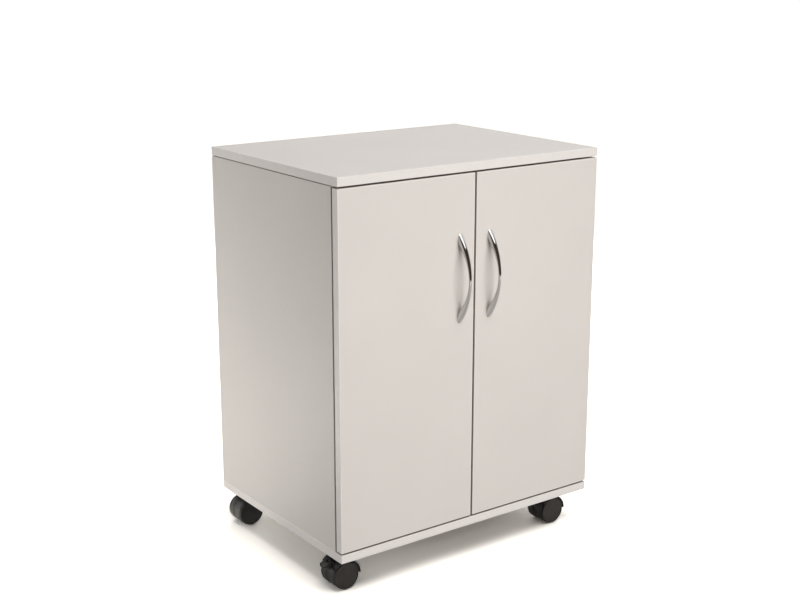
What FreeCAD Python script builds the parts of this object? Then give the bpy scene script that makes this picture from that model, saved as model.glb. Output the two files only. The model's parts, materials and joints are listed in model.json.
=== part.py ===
"""Two-door printer cabinet on four twin-wheel castors.

Millimetres, +Z up, the doors face -Y. The origin is on the floor under the centre of the whole
object's bounding box. Chipboard panels are held by cam fittings and dowels, the doors hang on
concealed cup hinges with one pivot pin each, and each castor swivels on a kingpin.
"""
import FreeCAD
import Part
import math
import os

V = FreeCAD.Vector
AXIS_X = V(1, 0, 0)
AXIS_Y = V(0, 1, 0)
AXIS_Z = V(0, 0, 1)
SAME_PLACE = 1e-6

# Cabinet body: the sides stand in a little, and a rebate draws a shadow line between them and the top
WIDTH = 580.0
DEPTH = 430.0
BODY_HEIGHT = 684.0
BOARD = 16.0
SIDE_INSET = 0.5
REBATE_HEIGHT = 1.5
REBATE_DEPTH = 2.5
EDGING = 2.0
EDGE_ROUND = 1.0

# Doors, and the gaps round them
DOOR_BOARD = 16.0
DOOR_BACK_GAP = 4.5
DOOR_MEETING_GAP = 4.0
DOOR_END_GAP = 3.0

# Back panel, slid into grooves
BACK_BOARD = 3.0
BACK_INSET = 10.0
GROOVE_DEPTH = 7.0
GROOVE_PLAY = 0.2
GROOVE_END_PLAY = 0.5

# Shelf on four pegs, and the rows of peg holes
SHELF_SETBACK = 22.0
SHELF_SIDE_PLAY = 1.0
SHELF_BACK_PLAY = 4.0
PEG_ROW_FRONT = 37.0
PEG_ROW_BACK = 70.0
PEG_PITCH = 32.0
PEG_HOLES_EACH_WAY = 3
PEG_RADIUS = 2.5
PEG_HOLE_DEPTH = 9.0
PEG_COLLAR_RADIUS = 4.5
PEG_COLLAR = 1.2
PEG_REACH = 9.0
PEG_FLAT = 2.0

# Cam fittings and dowels between the sides and the top and bottom
CAM_RADIUS = 7.5
CAM_DEPTH = 12.5
CAM_FROM_END = 24.0
CAM_FROM_EDGE = 50.0
CAM_SLOT_WIDTH = 1.4
CAM_SLOT_DEPTH = 1.6
BOLT_SHANK_RADIUS = 3.5
BOLT_NECK_RADIUS = 2.5
BOLT_NECK = 5.0
BOLT_HEAD = 3.0
BOLT_THREAD_RADIUS = 3.0
BOLT_THREAD = 11.0
DOWEL_RADIUS = 4.0
DOWEL_LENGTH = 30.0
DOWEL_IN_PANEL = 11.0
DOWEL_FROM_EDGE = 105.0
DRILL_PLAY = 0.05
DRILL_BOTTOM = 0.5

# Cup hinges, seen from above: across from the cabinet's side, and back from the side panel's front edge
HINGE_FROM_DOOR_END = 95.0
PIVOT_FROM_EDGE = 7.4
PIVOT_DEPTH = 8.8
PIN_RADIUS = 1.25
PIN_LUG_PLAY = 0.5
RUNNING_PLAY = 0.05
EYE_RADIUS = 2.6
CUP_RADIUS = 17.5
CUP_FROM_EDGE = 3.0
CUP_DEPTH = 12.5
CUP_WALL = 0.8
FLANGE = 1.0
FLANGE_LIP = 1.5
EAR_SPACING = 48.0
EAR_OFFSET = 5.5
EAR_RADIUS = 6.0
ARM_SHEET = 2.0
ARM_STANDOFF = 3.0
ARM_NARROW = 10.0
ARM_WIDE = 14.0
ARM_WIDE_FROM = 6.0
ARM_END = 60.0
ARM_FLANGE = 5.0
ARM_FLANGE_SHEET = 1.5
ARM_BEND = 1.8
ARM_SCREW_INSET = 11.0
PLATE_SHEET = 2.0
PLATE_CENTRE = 37.0
PLATE_WING_WIDTH = 24.0
PLATE_WING_HEIGHT = 50.0
PLATE_SCREW_SPACING = 32.0
PLATE_RAIL_LAP = 2.0

# Screws: shank radius, head radius, head height
WOOD_SCREW = (2.0, 3.8, 1.8)
WOOD_SCREW_BITE = 11.0
MACHINE_SCREW = (2.0, 3.4, 2.0)
RECESS_WIDTH = 1.0
RECESS_SHARE = 0.7
RECESS_DEPTH = 1.1

# Bow handles
HANDLE_LENGTH = 163.0
HANDLE_PROJECTION = 32.0
HANDLE_THICKNESS = 5.0
HANDLE_FOOT = 21.0
HANDLE_MID_WIDTH = 6.0
HANDLE_FOOT_WIDTH = 12.0
HANDLE_SCREW_SPACING = 128.0
HANDLE_SCREW_BITE = 9.0
HANDLE_FROM_EDGE = 31.5
HANDLE_FROM_TOP = 187.0
HANDLE_RUNOUT = 4.0
HANDLE_SECTIONS = 17
HANDLE_OVAL_POINTS = 16

# Castors: the axle stands behind the swivel axis by the trail
CASTOR_HEIGHT = 64.0
CASTOR_INSET = 45.0
WHEEL_RADIUS = 26.0
WHEEL_WIDTH = 18.0
WHEEL_RIM = 4.0
WHEEL_FACE = 3.0
WHEEL_HUB_RADIUS = 7.0
WHEEL_CAP = 2.4
WHEEL_CAP_DROP = 0.5
WHEEL_CAP_ROUND = 1.0
WHEEL_GROOVE = 1.8
WHEEL_GROOVE_DEPTH = 1.8
WHEEL_SIDE_PLAY = 0.4
TRAIL = 20.0
WEB_WIDTH = 10.0
WEB_DROP = 0.5
WEB_BELOW_AXLE = 18.0
AXLE_RADIUS = 3.0
HOOD_GAP = 1.2
HOOD_WALL = 3.2
HOOD_TAIL_DEG = 112.0
HOOD_CHEEK_DEG = 140.0
HOOD_SLOT_RUNOUT_DEG = 3.0
HOOD_ROUND = 1.0
BOSS_RADIUS = 11.0
BOSS_GAP = 0.3
KINGPIN_RADIUS = 3.5
KINGPIN_LENGTH = 26.0
CASTOR_PLATE = 42.0
CASTOR_PLATE_SHEET = 2.5
CASTOR_PLATE_CORNER = 5.0
CASTOR_SCREW_SPACING = 31.0

# Brake pedals on the two front castors
PEDAL_PIVOT_RADIUS = 31.0
PEDAL_PIVOT_DEG = 128.0
PEDAL_WIDTH = 18.0
PEDAL_LENGTH = 21.0
PEDAL_ROOT = 3.2
PEDAL_TIP = 2.6
PEDAL_SHOE = 12.0
PEDAL_SHOE_DEPTH = 7.0
PEDAL_DROOP_DEG = 10.0
PEDAL_PRESS_DEG = 16.0
PEDAL_TREAD_GAP = 0.4
PEDAL_CORNER = 6.0
LUG_RADIUS = 3.4
LUG_WIDTH = 8.0
LUG_PLAY = 0.3
PEDAL_SIDE_PLAY = 0.5
PEDAL_PIN_RADIUS = 1.5

# Levels and planes worked out from the sizes above, about the middle of the body
FRONT = -DEPTH / 2
BACK = DEPTH / 2
LEFT = -WIDTH / 2
FLOOR_PANEL_Z = CASTOR_HEIGHT + BOARD
TOTAL_HEIGHT = CASTOR_HEIGHT + BODY_HEIGHT
CEILING_Z = TOTAL_HEIGHT - BOARD
SIDE_FRONT = FRONT + DOOR_BOARD + DOOR_BACK_GAP
SIDE_HEIGHT = CEILING_Z - FLOOR_PANEL_Z
SIDE_INNER_U = SIDE_INSET + BOARD
SIDE_LEFT = LEFT + SIDE_INSET
SIDE_MIDDLE = SIDE_LEFT + BOARD / 2
SIDE_INNER = LEFT + SIDE_INNER_U
INNER_WIDTH = WIDTH - 2 * SIDE_INNER_U
DOOR_WIDTH = (WIDTH - DOOR_MEETING_GAP) / 2
DOOR_BOTTOM = FLOOR_PANEL_Z + DOOR_END_GAP
DOOR_HEIGHT = SIDE_HEIGHT - 2 * DOOR_END_GAP
BACK_PANEL_FRONT = BACK - BACK_INSET - BACK_BOARD
SHELF_UNDERSIDE = FLOOR_PANEL_Z + (SIDE_HEIGHT - BOARD) / 2
PEG_Z = SHELF_UNDERSIDE - PEG_FLAT
HINGE_HEIGHTS = (DOOR_BOTTOM + HINGE_FROM_DOOR_END, DOOR_BOTTOM + DOOR_HEIGHT - HINGE_FROM_DOOR_END)
PIVOT_V = -(DOOR_BACK_GAP + PIVOT_DEPTH)
CUP_U = CUP_FROM_EDGE + CUP_RADIUS
ARM_U = SIDE_INNER_U + ARM_STANDOFF
HANDLE_X = -DOOR_MEETING_GAP / 2 - HANDLE_FROM_EDGE
HANDLE_Z = DOOR_BOTTOM + DOOR_HEIGHT - HANDLE_FROM_TOP
CASTOR_X = WIDTH / 2 - CASTOR_INSET
CASTOR_Y = DEPTH / 2 - CASTOR_INSET
CASTOR_PLATE_Z = CASTOR_HEIGHT - CASTOR_PLATE_SHEET
WHEEL_INNER = WEB_WIDTH / 2 + WHEEL_SIDE_PLAY
WHEEL_OUTER = WHEEL_INNER + WHEEL_WIDTH
WEB_RADIUS = WHEEL_RADIUS - WEB_DROP
HOOD_INNER = WHEEL_RADIUS + HOOD_GAP
HOOD_OUTER = HOOD_INNER + HOOD_WALL
PEDAL_PIVOT_X = -TRAIL + PEDAL_PIVOT_RADIUS * math.cos(math.radians(PEDAL_PIVOT_DEG))
PEDAL_PIVOT_Z = WHEEL_RADIUS + PEDAL_PIVOT_RADIUS * math.sin(math.radians(PEDAL_PIVOT_DEG))

# The pedals reach past the left side and the handles past the doors, so the body stands off centre
PEDAL_REACH_X = PEDAL_PIVOT_X - PEDAL_LENGTH * math.cos(math.radians(PEDAL_DROOP_DEG))
PEDAL_OVERHANG = max(0.0, LEFT - (-CASTOR_X + PEDAL_REACH_X))
BODY_SHIFT = V(PEDAL_OVERHANG / 2, HANDLE_PROJECTION / 2, 0)

CASTOR_PLACES = {
    "front_left": V(-CASTOR_X, -CASTOR_Y, 0),
    "front_right": V(CASTOR_X, -CASTOR_Y, 0),
    "back_left": V(-CASTOR_X, CASTOR_Y, 0),
    "back_right": V(CASTOR_X, CASTOR_Y, 0),
}


def box(low, high):
    """A block between two opposite corners."""
    size = high - low
    return Part.makeBox(size.x, size.y, size.z, low)


def rod(radius, start, end):
    """A round bar between two points."""
    along = end - start
    return Part.makeCylinder(radius, along.Length, start, along)


def fused(*shapes):
    """One solid made of overlapping shapes, with the seams between them removed."""
    return shapes[0].multiFuse(list(shapes[1:])).removeSplitter()


def prism(points, depth_vector):
    """A flat outline pushed along a vector."""
    return Part.Face(Part.makePolygon(points + points[:1])).extrude(depth_vector)


def mirrored(shape):
    """The right-hand copy of a left-hand shape."""
    return shape.mirror(V(0, 0, 0), AXIS_X)


def edged_board(low, high, thin):
    """A board's core and the lipping glued round its narrow sides; thin is the axis of its thickness."""
    outer = box(low, high)
    outer = outer.makeFillet(EDGE_ROUND, outer.Edges)
    inset = V(*[0 if axis == thin else EDGING for axis in range(3)])
    core = box(low + inset, high - inset)
    return core, outer.cut(core)


def screw(sizes, under_head, direction, length):
    """A cross-recess screw: under_head is the middle of the head's seat, direction is the shank's."""
    shank_radius, head_radius, head_height = sizes
    direction = V(direction).normalize()
    body = fused(
        rod(shank_radius, under_head, under_head + direction * length),
        rod(head_radius, under_head - direction * head_height, under_head),
    )
    half = head_radius * RECESS_SHARE
    blade = Part.makeBox(2 * half, RECESS_WIDTH, RECESS_DEPTH, V(-half, -RECESS_WIDTH / 2, -RECESS_DEPTH))
    cross = fused(blade, blade.rotated(V(0, 0, 0), AXIS_Z, 90))
    turn = FreeCAD.Placement(under_head - direction * head_height, FreeCAD.Rotation(AXIS_Z, direction * -1))
    cross.Placement = turn
    return body.cut(cross)


def joint_depths(from_edge):
    """Two places along a side panel, the same distance from its front and back edges."""
    return (SIDE_FRONT + from_edge, BACK - from_edge)


def cam_fitting(y, top):
    """Cam, bolt and the holes they need at one place of the left side; top says which end of the side."""
    end_z = CEILING_Z if top else FLOOR_PANEL_Z
    out = 1 if top else -1
    cam_z = end_z - out * CAM_FROM_END
    mouth = V(SIDE_INNER, y, cam_z)
    cam_hole = rod(CAM_RADIUS + DRILL_PLAY, mouth, mouth - AXIS_X * CAM_DEPTH)

    def level(distance):
        return V(SIDE_MIDDLE, y, cam_z + out * distance)

    thread_end = CAM_FROM_END + BOLT_THREAD
    bolt = fused(
        rod(BOLT_SHANK_RADIUS, level(-BOLT_HEAD / 2), level(BOLT_HEAD / 2)),
        rod(BOLT_NECK_RADIUS, level(0), level(BOLT_HEAD / 2 + BOLT_NECK)),
        rod(BOLT_SHANK_RADIUS, level(BOLT_HEAD / 2 + BOLT_NECK), level(CAM_FROM_END)),
        rod(BOLT_THREAD_RADIUS, level(CAM_FROM_END), level(thread_end)),
    )
    bore = rod(BOLT_SHANK_RADIUS + DRILL_PLAY, level(-BOLT_HEAD / 2 - DRILL_BOTTOM), level(CAM_FROM_END))
    tapped = rod(BOLT_THREAD_RADIUS + DRILL_PLAY, level(CAM_FROM_END), level(thread_end + DRILL_BOTTOM))

    cam = rod(CAM_RADIUS, mouth, mouth - AXIS_X * (CAM_DEPTH - DRILL_BOTTOM))
    half = CAM_RADIUS * RECESS_SHARE
    slots = [
        box(mouth - V(CAM_SLOT_DEPTH, a, b), mouth + V(0, a, b))
        for a, b in ((half, CAM_SLOT_WIDTH / 2), (CAM_SLOT_WIDTH / 2, half))
    ]
    cam = cam.cut(bore).cut(slots[0]).cut(slots[1])
    return cam, bolt, [cam_hole, bore], tapped


def dowel_fitting(y, top):
    """Dowel and its two holes at one place of the left side."""
    end_z = CEILING_Z if top else FLOOR_PANEL_Z
    out = 1 if top else -1

    def level(distance):
        return V(SIDE_MIDDLE, y, end_z + out * distance)

    in_side = DOWEL_LENGTH - DOWEL_IN_PANEL
    dowel = rod(DOWEL_RADIUS, level(-in_side), level(DOWEL_IN_PANEL))
    side_hole = rod(DOWEL_RADIUS + DRILL_PLAY, level(-in_side - DRILL_BOTTOM), level(0))
    panel_hole = rod(DOWEL_RADIUS + DRILL_PLAY, level(0), level(DOWEL_IN_PANEL + DRILL_BOTTOM))
    return dowel, side_hole, panel_hole


def shelf_peg(y):
    """A left-hand shelf peg: spigot in the side, collar, and a peg with a flat for the shelf."""
    spigot_end = SIDE_INNER - PEG_HOLE_DEPTH + DRILL_BOTTOM
    peg = fused(
        rod(PEG_RADIUS, V(spigot_end, y, PEG_Z), V(SIDE_INNER + PEG_REACH, y, PEG_Z)),
        rod(PEG_COLLAR_RADIUS, V(SIDE_INNER, y, PEG_Z), V(SIDE_INNER + PEG_COLLAR, y, PEG_Z)),
    )
    above = box(
        V(SIDE_INNER, y - PEG_COLLAR_RADIUS, SHELF_UNDERSIDE),
        V(SIDE_INNER + PEG_REACH, y + PEG_COLLAR_RADIUS, SHELF_UNDERSIDE + PEG_COLLAR_RADIUS),
    )
    return peg.cut(above)


def peg_holes():
    """The two rows of peg holes in the left side's inner face."""
    holes = []
    for y in (SIDE_FRONT + PEG_ROW_FRONT, BACK - PEG_ROW_BACK):
        for step in range(-PEG_HOLES_EACH_WAY, PEG_HOLES_EACH_WAY + 1):
            mouth = V(SIDE_INNER, y, PEG_Z + PEG_PITCH * step)
            holes.append(rod(PEG_RADIUS + DRILL_PLAY, mouth, mouth - AXIS_X * PEG_HOLE_DEPTH))
    return holes


def hinge_point(u, v, z):
    """A point of a left-hand hinge: u in from the cabinet's side, v back from the side panel's edge."""
    return V(LEFT + u, SIDE_FRONT + v, z)


def hinge_pivot(radius, z_span):
    """A round bar on a left-hand hinge's pivot axis."""
    ends = [hinge_point(PIVOT_FROM_EDGE, PIVOT_V, z) for z in z_span]
    return rod(radius, ends[0], ends[1])


def hinge_block(u_span, v_span, z_span):
    """A block in a hinge's own directions."""
    return box(hinge_point(u_span[0], v_span[0], z_span[0]), hinge_point(u_span[1], v_span[1], z_span[1]))


def hinge_cup(z):
    """Cup with its flange, the pocket it needs in the door, its two screws and the pivot pin."""
    door_face = -DOOR_BACK_GAP
    mouth = hinge_point(CUP_U, door_face, z)
    floor = hinge_point(CUP_U, door_face - CUP_DEPTH, z)
    top = hinge_point(CUP_U, door_face + FLANGE, z)
    pocket = rod(CUP_RADIUS, floor, mouth)
    ear_u = CUP_U + EAR_OFFSET
    ears = [z - EAR_SPACING / 2, z + EAR_SPACING / 2]
    flange = [rod(CUP_RADIUS + FLANGE_LIP, mouth, top)]
    for ear_z in ears:
        ear = hinge_point(ear_u, door_face, ear_z)
        flange.append(rod(EAR_RADIUS, ear, ear + AXIS_Y * FLANGE))
    bar = hinge_block((ear_u - EAR_RADIUS, ear_u + EAR_RADIUS), (door_face, door_face + FLANGE), ears)
    hollow = rod(CUP_RADIUS - CUP_WALL, floor + AXIS_Y * CUP_WALL, top)
    cup = fused(pocket, bar, *flange).cut(hollow)

    clear_of_arm = ARM_NARROW / 2 + PIN_LUG_PLAY
    for side in (-1, 1):
        lug = hinge_pivot(EYE_RADIUS, (z + side * clear_of_arm, z + side * CUP_RADIUS))
        cup = fused(cup, lug.common(pocket))
    pin_side = CUP_U - PIVOT_FROM_EDGE + PIN_RADIUS
    reach = math.sqrt(CUP_RADIUS**2 - pin_side**2) - DRILL_PLAY
    pin = hinge_pivot(PIN_RADIUS, (z - reach, z + reach))
    cup = cup.cut(pin)
    screws = []
    pilots = []
    length = WOOD_SCREW_BITE + FLANGE
    for ear_z in ears:
        seat = hinge_point(ear_u, door_face + FLANGE, ear_z)
        screws.append(screw(WOOD_SCREW, seat, AXIS_Y * -1, length))
        pilots.append(rod(WOOD_SCREW[0] + DRILL_PLAY, seat, seat - AXIS_Y * (length + DRILL_BOTTOM)))
    cup = cup.cut(Part.makeCompound(pilots))
    return cup, pin, screws, [pocket] + pilots


def arm_screw_places():
    """How far back the two screws of a hinge arm stand."""
    return (ARM_WIDE_FROM + ARM_SCREW_INSET, ARM_END - ARM_SCREW_INSET)


def hinge_arm(z):
    """Gooseneck arm: an eye on the pin, a run across the cup, then a channel back along the side panel."""
    low_v = PIVOT_V - EYE_RADIUS
    narrow = (z - ARM_NARROW / 2, z + ARM_NARROW / 2)
    wide = (z - ARM_WIDE / 2, z + ARM_WIDE / 2)
    outer_u = ARM_U + ARM_SHEET
    across = hinge_block((PIVOT_FROM_EDGE, outer_u), (low_v, low_v + ARM_SHEET), narrow)
    riser = hinge_block((ARM_U, outer_u), (low_v, ARM_WIDE_FROM), narrow)
    neck = fused(across, riser)
    bend = hinge_point(outer_u, low_v, z)
    neck = neck.makeFillet(ARM_BEND, [e for e in neck.Edges if (e.CenterOfMass - bend).Length < SAME_PLACE])
    eye = hinge_pivot(EYE_RADIUS, narrow)
    tail = hinge_block((ARM_U, outer_u), (ARM_WIDE_FROM, ARM_END), wide)
    flanges = [
        hinge_block((ARM_U, outer_u + ARM_FLANGE), (ARM_WIDE_FROM, ARM_END), span)
        for span in ((wide[0], wide[0] + ARM_FLANGE_SHEET), (wide[1] - ARM_FLANGE_SHEET, wide[1]))
    ]
    arm = fused(neck, eye, tail, *flanges)
    holes = [hinge_pivot(PIN_RADIUS + RUNNING_PLAY, narrow)]
    for v in arm_screw_places():
        seat = hinge_point(outer_u, v, z)
        holes.append(rod(MACHINE_SCREW[0] + DRILL_PLAY, seat, seat - AXIS_X * (ARM_SHEET + ARM_STANDOFF)))
    return arm.cut(Part.makeCompound(holes))


def hinge_plate(z):
    """Mounting plate on the side panel, its two wood screws, their pilot holes and the arm's two screws."""
    wing_u = SIDE_INNER_U + PLATE_SHEET
    wing = hinge_block(
        (SIDE_INNER_U, wing_u),
        (PLATE_CENTRE - PLATE_WING_WIDTH / 2, PLATE_CENTRE + PLATE_WING_WIDTH / 2),
        (z - PLATE_WING_HEIGHT / 2, z + PLATE_WING_HEIGHT / 2),
    )
    rail = hinge_block(
        (SIDE_INNER_U, ARM_U), (ARM_WIDE_FROM, ARM_END + PLATE_RAIL_LAP), (z - ARM_WIDE / 2, z + ARM_WIDE / 2)
    )
    plate = fused(wing, rail)
    wood_screws = []
    pilots = []
    for side in (-1, 1):
        seat = hinge_point(wing_u, PLATE_CENTRE, z + side * PLATE_SCREW_SPACING / 2)
        wood_screws.append(screw(WOOD_SCREW, seat, AXIS_X * -1, WOOD_SCREW_BITE + PLATE_SHEET))
        length = WOOD_SCREW_BITE + PLATE_SHEET + DRILL_BOTTOM
        pilots.append(rod(WOOD_SCREW[0] + DRILL_PLAY, seat, seat - AXIS_X * length))
    arm_screws = []
    tapped = []
    for v in arm_screw_places():
        seat = hinge_point(ARM_U + ARM_SHEET, v, z)
        arm_screws.append(screw(MACHINE_SCREW, seat, AXIS_X * -1, ARM_SHEET + ARM_STANDOFF))
        tapped.append(rod(MACHINE_SCREW[0] + DRILL_PLAY, hinge_point(SIDE_INNER_U, v, z), seat))
    plate = plate.cut(Part.makeCompound(pilots + tapped))
    return plate, wood_screws, pilots, arm_screws


def handle_section(z):
    """The bow at height z above its middle: half width, inner and outer distance from the door."""
    half = HANDLE_LENGTH / 2
    foot = half - HANDLE_FOOT
    radius = (half**2 + HANDLE_PROJECTION**2) / (2 * HANDLE_PROJECTION)
    outer = math.sqrt(radius**2 - z**2) - (radius - HANDLE_PROJECTION)
    inner = (HANDLE_PROJECTION - HANDLE_THICKNESS) * (1 - (z / foot) ** 2)
    waist = (1 - (z / half) ** 2) ** 2
    width = HANDLE_FOOT_WIDTH - (HANDLE_FOOT_WIDTH - HANDLE_MID_WIDTH) * waist
    return width / 2, inner, outer


def handle_oval(z):
    """The level oval that the bow passes through at height z above its middle."""
    half_width, inner, outer = handle_section(z)
    middle = V(HANDLE_X, FRONT - (inner + outer) / 2, HANDLE_Z + z)
    half_depth = (outer - inner) / 2
    turns = [2 * math.pi * (k + 0.5) / HANDLE_OVAL_POINTS for k in range(HANDLE_OVAL_POINTS)]
    oval = Part.BSplineCurve()
    oval.interpolate(
        Points=[middle + V(half_width * math.cos(t), half_depth * math.sin(t), 0) for t in turns],
        PeriodicFlag=True,
    )
    return Part.Wire(oval.toShape())


def bow_handle():
    """Left handle, its screws and their holes. The bow is lofted through ovals and cut flat on the door."""
    reach = HANDLE_LENGTH / 2 + HANDLE_RUNOUT
    step = 2 * reach / (HANDLE_SECTIONS - 1)
    ovals = [handle_oval(step * i - reach) for i in range(HANDLE_SECTIONS)]
    bow = Part.makeLoft(ovals, True, False)
    behind = box(
        V(HANDLE_X - HANDLE_FOOT_WIDTH, FRONT, HANDLE_Z - HANDLE_LENGTH),
        V(HANDLE_X + HANDLE_FOOT_WIDTH, BACK, HANDLE_Z + HANDLE_LENGTH),
    )
    bow = bow.cut(behind)
    screws = []
    holes = []
    for end in (-1, 1):
        seat = V(HANDLE_X, FRONT + DOOR_BOARD, HANDLE_Z + end * HANDLE_SCREW_SPACING / 2)
        length = DOOR_BOARD + HANDLE_SCREW_BITE
        screws.append(screw(MACHINE_SCREW, seat, AXIS_Y * -1, length))
        holes.append(rod(MACHINE_SCREW[0] + DRILL_PLAY, seat, seat - AXIS_Y * (length + DRILL_BOTTOM)))
    return bow.cut(Part.makeCompound(holes)), screws, holes


def axle_point(x, y, z):
    """A point measured from a castor's axle, with the castor's swivel axis on the origin."""
    return V(x - TRAIL, y, z + WHEEL_RADIUS)


def across(radius, half_width):
    """A round bar along a castor's axle."""
    return rod(radius, axle_point(0, -half_width, 0), axle_point(0, half_width, 0))


def castor_wheel(side):
    """One of the twin wheels: tread, groove, round-edged cap as its outer face, hub with a blind bore."""
    inner, outer = WHEEL_INNER, WHEEL_OUTER
    web = outer - WHEEL_FACE
    bore = AXLE_RADIUS + RUNNING_PLAY
    rim = WHEEL_RADIUS - WHEEL_RIM
    cap = WHEEL_RADIUS - WHEEL_CAP_DROP
    groove = WHEEL_RADIUS - WHEEL_GROOVE_DEPTH
    cap_back = outer - WHEEL_CAP
    tread_end = cap_back - WHEEL_GROOVE
    points = [
        V(0, outer, 0), V(0, web, 0), V(bore, web, 0), V(bore, inner, 0), V(WHEEL_HUB_RADIUS, inner, 0),
        V(WHEEL_HUB_RADIUS, web, 0), V(rim, web, 0), V(rim, inner, 0), V(WHEEL_RADIUS, inner, 0),
        V(WHEEL_RADIUS, tread_end, 0), V(groove, tread_end, 0), V(groove, cap_back, 0), V(cap, cap_back, 0),
        V(cap, outer - WHEEL_CAP_ROUND, 0),
    ]
    edges = [Part.LineSegment(a, b).toShape() for a, b in zip(points, points[1:])]
    face_edge = cap - WHEEL_CAP_ROUND
    bend = WHEEL_CAP_ROUND * math.sqrt(0.5)
    middle = V(face_edge + bend, outer - WHEEL_CAP_ROUND + bend, 0)
    edges.append(Part.Arc(points[-1], middle, V(face_edge, outer, 0)).toShape())
    edges.append(Part.LineSegment(V(face_edge, outer, 0), points[0]).toShape())
    wheel = Part.Face(Part.Wire(edges)).revolve(V(0, 0, 0), AXIS_Y, 360)
    wheel = wheel.translated(axle_point(0, 0, 0))
    return wheel if side > 0 else wheel.mirror(V(0, 0, 0), AXIS_Y)


def ring_sector(inner, outer, half_width, start_deg, end_deg):
    """Part of a tube round the axle, between two angles from the leading side up over the top."""

    def at(radius, degrees):
        turn = math.radians(degrees)
        return axle_point(radius * math.cos(turn), -half_width, radius * math.sin(turn))

    middle = (start_deg + end_deg) / 2
    edges = [
        Part.Arc(at(outer, start_deg), at(outer, middle), at(outer, end_deg)).toShape(),
        Part.LineSegment(at(outer, end_deg), at(inner, end_deg)).toShape(),
        Part.Arc(at(inner, end_deg), at(inner, middle), at(inner, start_deg)).toShape(),
        Part.LineSegment(at(inner, start_deg), at(outer, start_deg)).toShape(),
    ]
    return Part.Face(Part.Wire(edges)).extrude(AXIS_Y * (2 * half_width))


def castor_hood(braked):
    """Hood over the wheels, the web between them and the swivel boss.

    With a brake the hood reaches further back in two cheeks, and the pedal's lug stands between them.
    """
    tail = HOOD_CHEEK_DEG if braked else HOOD_TAIL_DEG
    shell = ring_sector(HOOD_INNER, HOOD_OUTER, WHEEL_OUTER, 0, tail)
    arcs = [e for e in shell.Edges if isinstance(e.Curve, Part.Circle)]
    shell = shell.makeFillet(HOOD_ROUND, [e for e in arcs if abs(e.Curve.Radius - HOOD_OUTER) < SAME_PLACE])
    if braked:
        half_slot = PEDAL_WIDTH / 2 + PEDAL_SIDE_PLAY
        slot_end = tail + HOOD_SLOT_RUNOUT_DEG
        slot = ring_sector(WHEEL_RADIUS, HOOD_OUTER + HOOD_GAP, half_slot, HOOD_TAIL_DEG, slot_end)
        shell = shell.cut(slot)
    keep = box(
        axle_point(-WEB_RADIUS, -WEB_WIDTH, -WEB_BELOW_AXLE), axle_point(WEB_RADIUS, WEB_WIDTH, WEB_RADIUS)
    )
    web = across(WEB_RADIUS, WEB_WIDTH / 2).common(keep)
    bridge = ring_sector(WHEEL_HUB_RADIUS, (HOOD_INNER + HOOD_OUTER) / 2, WEB_WIDTH / 2, 0, HOOD_TAIL_DEG)
    boss = rod(BOSS_RADIUS, V(0, 0, WHEEL_RADIUS), V(0, 0, CASTOR_PLATE_Z - BOSS_GAP))
    for side in (-1, 1):
        well_start = axle_point(0, side * WEB_WIDTH / 2, 0)
        boss = boss.cut(rod(HOOD_INNER, well_start, well_start + AXIS_Y * (side * WHEEL_OUTER)))
    hood = fused(shell, web, bridge, boss)
    if braked:
        pivot = V(PEDAL_PIVOT_X, 0, PEDAL_PIVOT_Z)
        half = AXIS_Y * (LUG_WIDTH / 2)
        lug = rod(LUG_RADIUS, pivot - half, pivot + half)
        stalk = box(
            axle_point(0, -LUG_WIDTH / 2, -LUG_RADIUS),
            axle_point(PEDAL_PIVOT_RADIUS, LUG_WIDTH / 2, LUG_RADIUS),
        )
        hood = fused(hood, lug, stalk.rotated(axle_point(0, 0, 0), AXIS_Y, -PEDAL_PIVOT_DEG))
        hood = hood.cut(rod(PEDAL_PIN_RADIUS + DRILL_PLAY, pivot - half, pivot + half))
    bore_end = CASTOR_HEIGHT - KINGPIN_LENGTH - DRILL_BOTTOM
    kingpin_bore = rod(KINGPIN_RADIUS + RUNNING_PLAY, V(0, 0, bore_end), V(0, 0, CASTOR_PLATE_Z))
    return hood.cut(kingpin_bore).cut(across(AXLE_RADIUS + DRILL_PLAY, WEB_WIDTH))


def brake_pedal():
    """Pedal forked over the hood's lug. Its shoe is hollowed to the tread's curve in the pressed position."""
    half = PEDAL_WIDTH / 2
    outline = [
        V(PEDAL_ROOT, -half, -PEDAL_ROOT),
        V(PEDAL_ROOT, -half, PEDAL_ROOT),
        V(-PEDAL_SHOE, -half, PEDAL_ROOT),
        V(-PEDAL_LENGTH, -half, PEDAL_TIP / 2),
        V(-PEDAL_LENGTH, -half, -PEDAL_TIP / 2),
        V(-PEDAL_SHOE, -half, -PEDAL_TIP),
        V(-PEDAL_SHOE, -half, -PEDAL_SHOE_DEPTH),
        V(-PEDAL_ROOT, -half, -PEDAL_SHOE_DEPTH),
    ]
    pedal = prism(outline, AXIS_Y * PEDAL_WIDTH)
    end_edges = [e for e in pedal.Edges if e.BoundBox.XMax < -PEDAL_LENGTH + SAME_PLACE]
    pedal = pedal.makeFillet(PEDAL_CORNER, [e for e in end_edges if e.BoundBox.YLength < SAME_PLACE])
    gap = LUG_WIDTH / 2 + LUG_PLAY
    reach = 2 * LUG_RADIUS + LUG_PLAY
    fork = box(V(-reach, -gap, -PEDAL_SHOE_DEPTH * 2), V(PEDAL_ROOT * 2, gap, PEDAL_ROOT * 2))
    pedal = pedal.cut(fork).cut(rod(PEDAL_PIN_RADIUS + RUNNING_PLAY, V(0, -half, 0), V(0, half, 0)))
    pivot = V(PEDAL_PIVOT_X, 0, PEDAL_PIVOT_Z)
    pressed = pedal.rotated(V(0, 0, 0), AXIS_Y, -PEDAL_DROOP_DEG - PEDAL_PRESS_DEG).translated(pivot)
    pressed = pressed.cut(across(WHEEL_RADIUS + PEDAL_TREAD_GAP, PEDAL_WIDTH))
    return pressed.rotated(pivot, AXIS_Y, PEDAL_PRESS_DEG)


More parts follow.
